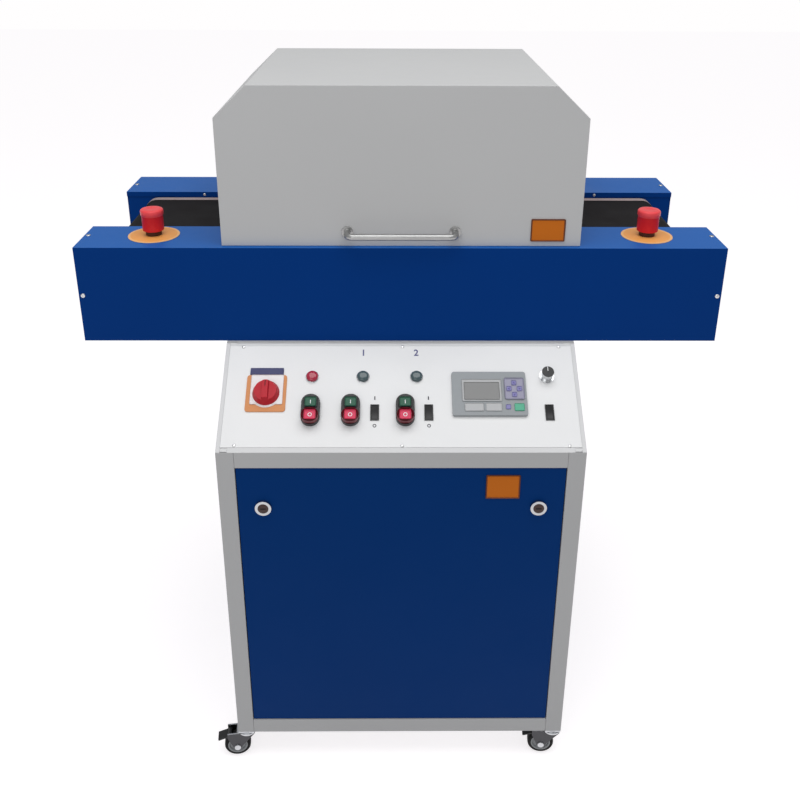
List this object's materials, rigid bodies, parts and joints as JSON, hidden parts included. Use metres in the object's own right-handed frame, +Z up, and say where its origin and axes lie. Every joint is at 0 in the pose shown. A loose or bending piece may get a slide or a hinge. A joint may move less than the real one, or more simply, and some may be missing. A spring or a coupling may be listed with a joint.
{
  "type": "uv curing conveyor",
  "caption": "Wheeled cabinet with a sloping control console, a belt conveyor between blue side rails and a hinged lamp hood.",
  "frame": {"origin": "on the floor, under the middle of the whole machine", "axes": "+X along the belt to the operator's right, +Y to the back, +Z up"},
  "size_m": [1.124, 0.664, 1.258],
  "materials": {
    "frame_grey": "satin light grey paint",
    "panel_blue": "satin blue paint",
    "console_white": "satin white paint",
    "hood_grey": "satin light grey paint",
    "belt_mesh": "open mesh, coated",
    "zinc_steel": "zinc plated",
    "machined_steel": "machined",
    "chrome": "polished",
    "bright_aluminium": "bright",
    "motor_grey": "satin grey paint",
    "iron": "varnished laminations",
    "black_rubber": "matt",
    "black_plastic": "matt",
    "grey_plastic": "matt",
    "yellow_plastic": "satin",
    "red_plastic": "gloss",
    "green_plastic": "gloss",
    "quartz": "clear quartz"
  },
  "bodies": {
    "cabinet": {"frame_posts": "frame_grey", "frame_rails": "frame_grey", "base_plate": "zinc_steel", "side_panels": "panel_blue", "rear_panels": "panel_blue", "console_surround": "frame_grey", "console_panel": "console_white", "top_deck": "frame_grey", "caster_stems": "zinc_steel", "rail_cover_front": "panel_blue", "rail_cover_rear": "panel_blue", "conveyor_side_plates": "panel_blue", "slider_bed": "zinc_steel", "belt": "belt_mesh", "roller_bearings": "iron", "gearmotor": "motor_grey", "estop_bases": "yellow_plastic", "isolator_base": "yellow_plastic", "panel_bezels": "black_plastic", "display_unit": "grey_plastic", "hinge_leaves_lower": "zinc_steel", "ballasts": "iron", "mounting_plate": "zinc_steel", "switchgear": "grey_plastic", "cable_gland": "black_plastic"},
    "door": {"door_panel": "panel_blue"},
    "door_lock_left": {"door_lock_left": "chrome"},
    "door_lock_right": {"door_lock_right": "chrome"},
    "hood": {"hood_shell": "hood_grey", "hood_handle": "chrome", "lamp_reflectors": "bright_aluminium", "uv_lamps": "quartz", "exhaust_fan_frame": "black_plastic", "hinge_leaves_upper": "zinc_steel"},
    "exhaust_fan_rotor": {"exhaust_fan_rotor": "black_plastic"},
    "drive_roller": {"drive_roller": "machined_steel"},
    "idler_roller": {"idler_roller": "machined_steel"},
    "isolator_handle": {"isolator_handle": "red_plastic"},
    "speed_dial": {"speed_dial": "black_plastic"},
    "estop_head_left": {"estop_head_left": "red_plastic"},
    "estop_head_right": {"estop_head_right": "red_plastic"},
    "start_button_1": {"start_button_1": "green_plastic"},
    "stop_button_1": {"stop_button_1": "red_plastic"},
    "rocker_1": {"rocker_1": "black_plastic"},
    "start_button_2": {"start_button_2": "green_plastic"},
    "stop_button_2": {"stop_button_2": "red_plastic"},
    "rocker_2": {"rocker_2": "black_plastic"},
    "start_button_3": {"start_button_3": "green_plastic"},
    "stop_button_3": {"stop_button_3": "red_plastic"},
    "rocker_3": {"rocker_3": "black_plastic"},
    "caster_fork_front_left": {"caster_fork_front_left": "zinc_steel"},
    "caster_wheel_front_left": {"caster_wheel_front_left": "black_rubber"},
    "caster_fork_front_right": {"caster_fork_front_right": "zinc_steel"},
    "caster_wheel_front_right": {"caster_wheel_front_right": "black_rubber"},
    "caster_fork_rear_left": {"caster_fork_rear_left": "zinc_steel"},
    "caster_wheel_rear_left": {"caster_wheel_rear_left": "black_rubber"},
    "caster_fork_rear_right": {"caster_fork_rear_right": "zinc_steel"},
    "caster_wheel_rear_right": {"caster_wheel_rear_right": "black_rubber"},
    "caster_brake_front_left": {"caster_brake_front_left": "black_plastic"},
    "caster_brake_front_right": {"caster_brake_front_right": "black_plastic"}
  },
  "joints": [
    {"name": "door_pull", "type": "slide", "parent": "cabinet", "child": "door", "axis": [0, -1, 0], "range_m": [0, 0.12]},
    {"name": "door_lock_left_turn", "type": "hinge", "parent": "door", "child": "door_lock_left", "pos_m": [-0.2345, -0.326, 0.5775], "axis": [0, 1, 0], "range_deg": [0, 90]},
    {"name": "door_lock_right_turn", "type": "hinge", "parent": "door", "child": "door_lock_right", "pos_m": [0.2345, -0.326, 0.5775], "axis": [0, -1, 0], "range_deg": [0, 90]},
    {"name": "hood_hinge", "type": "hinge", "parent": "cabinet", "child": "hood", "pos_m": [0, 0.314, 0.991], "axis": [-1, 0, 0], "range_deg": [0, 75]},
    {"name": "exhaust_fan_spin", "type": "hinge", "parent": "hood", "child": "exhaust_fan_rotor", "pos_m": [0, 0.287, 1.184], "axis": [0, 1, 0], "continuous": true},
    {"name": "drive_roller_spin", "type": "hinge", "parent": "cabinet", "child": "drive_roller", "pos_m": [0.496, 0.077, 0.9465], "axis": [0, 1, 0], "continuous": true},
    {"name": "idler_roller_spin", "type": "hinge", "parent": "cabinet", "child": "idler_roller", "pos_m": [-0.496, 0.077, 0.9465], "axis": [0, 1, 0], "continuous": true},
    {"name": "isolator_turn", "type": "hinge", "parent": "cabinet", "child": "isolator_handle", "pos_m": [-0.23195, -0.24451, 0.75394], "axis": [0, 0.5907, -0.8069], "range_deg": [0, 90]},
    {"name": "start_button_1_press", "type": "slide", "parent": "cabinet", "child": "start_button_1", "axis": [0, 0.5907, -0.8069], "range_m": [0, 0.003], "stiffness_N_per_m": 800, "springref_m": -0.002},
    {"name": "stop_button_1_press", "type": "slide", "parent": "cabinet", "child": "stop_button_1", "axis": [0, 0.5907, -0.8069], "range_m": [0, 0.003], "stiffness_N_per_m": 800, "springref_m": -0.002},
    {"name": "start_button_2_press", "type": "slide", "parent": "cabinet", "child": "start_button_2", "axis": [0, 0.5907, -0.8069], "range_m": [0, 0.003], "stiffness_N_per_m": 800, "springref_m": -0.002},
    {"name": "stop_button_2_press", "type": "slide", "parent": "cabinet", "child": "stop_button_2", "axis": [0, 0.5907, -0.8069], "range_m": [0, 0.003], "stiffness_N_per_m": 800, "springref_m": -0.002},
    {"name": "start_button_3_press", "type": "slide", "parent": "cabinet", "child": "start_button_3", "axis": [0, 0.5907, -0.8069], "range_m": [0, 0.003], "stiffness_N_per_m": 800, "springref_m": -0.002},
    {"name": "stop_button_3_press", "type": "slide", "parent": "cabinet", "child": "stop_button_3", "axis": [0, 0.5907, -0.8069], "range_m": [0, 0.003], "stiffness_N_per_m": 800, "springref_m": -0.002},
    {"name": "rocker_1_tilt", "type": "hinge", "parent": "cabinet", "child": "rocker_1", "pos_m": [-0.04501, -0.26902, 0.72732], "axis": [-1, 0, 0], "range_deg": [0, 20]},
    {"name": "rocker_2_tilt", "type": "hinge", "parent": "cabinet", "child": "rocker_2", "pos_m": [0.047, -0.26902, 0.72732], "axis": [-1, 0, 0], "range_deg": [0, 20]},
    {"name": "rocker_3_tilt", "type": "hinge", "parent": "cabinet", "child": "rocker_3", "pos_m": [0.25301, -0.26902, 0.72732], "axis": [-1, 0, 0], "range_deg": [0, 20]},
    {"name": "speed_dial_turn", "type": "hinge", "parent": "cabinet", "child": "speed_dial", "pos_m": [0.25349, -0.21829, 0.77314], "axis": [0, 0.5907, -0.8069], "range_deg": [0, 270]},
    {"name": "estop_left_press", "type": "slide", "parent": "cabinet", "child": "estop_head_left", "axis": [0, 0, -1], "range_m": [0, 0.004], "stiffness_N_per_m": 1500, "springref_m": -0.003},
    {"name": "estop_right_press", "type": "slide", "parent": "cabinet", "child": "estop_head_right", "axis": [0, 0, -1], "range_m": [0, 0.004], "stiffness_N_per_m": 1500, "springref_m": -0.003},
    {"name": "caster_swivel_front_left", "type": "hinge", "parent": "cabinet", "child": "caster_fork_front_left", "pos_m": [-0.294, -0.313, 0.056], "axis": [0, 0, 1], "continuous": true},
    {"name": "caster_roll_front_left", "type": "hinge", "parent": "caster_fork_front_left", "child": "caster_wheel_front_left", "pos_m": [-0.31385, -0.31544, 0.025], "axis": [0.1219, -0.9925, 0], "continuous": true},
    {"name": "caster_brake_front_left_pedal", "type": "hinge", "parent": "caster_fork_front_left", "child": "caster_brake_front_left", "pos_m": [-0.32675, -0.31702, 0.051], "axis": [-0.1219, 0.9925, 0], "range_deg": [0, 20]},
    {"name": "caster_swivel_front_right", "type": "hinge", "parent": "cabinet", "child": "caster_fork_front_right", "pos_m": [0.294, -0.313, 0.056], "axis": [0, 0, 1], "continuous": true},
    {"name": "caster_roll_front_right", "type": "hinge", "parent": "caster_fork_front_right", "child": "caster_wheel_front_right", "pos_m": [0.27405, -0.31161, 0.025], "axis": [-0.0698, -0.9976, 0], "continuous": true},
    {"name": "caster_brake_front_right_pedal", "type": "hinge", "parent": "caster_fork_front_right", "child": "caster_brake_front_right", "pos_m": [0.26108, -0.3107, 0.051], "axis": [0.0698, 0.9976, 0], "range_deg": [0, 20]},
    {"name": "caster_swivel_rear_left", "type": "hinge", "parent": "cabinet", "child": "caster_fork_rear_left", "pos_m": [-0.294, 0.293, 0.056], "axis": [0, 0, 1], "continuous": true},
    {"name": "caster_roll_rear_left", "type": "hinge", "parent": "caster_fork_rear_left", "child": "caster_wheel_rear_left", "pos_m": [-0.31322, 0.28749, 0.025], "axis": [0.2756, -0.9613, 0], "continuous": true},
    {"name": "caster_swivel_rear_right", "type": "hinge", "parent": "cabinet", "child": "caster_fork_rear_right", "pos_m": [0.294, 0.293, 0.056], "axis": [0, 0, 1], "continuous": true},
    {"name": "caster_roll_rear_right", "type": "hinge", "parent": "caster_fork_rear_right", "child": "caster_wheel_rear_right", "pos_m": [0.2743, 0.29647, 0.025], "axis": [-0.1736, -0.9848, 0], "continuous": true}
  ],
  "couplings": [
    {"joint": "idler_roller_spin", "follows": "drive_roller_spin", "ratio": 1}
  ]
}
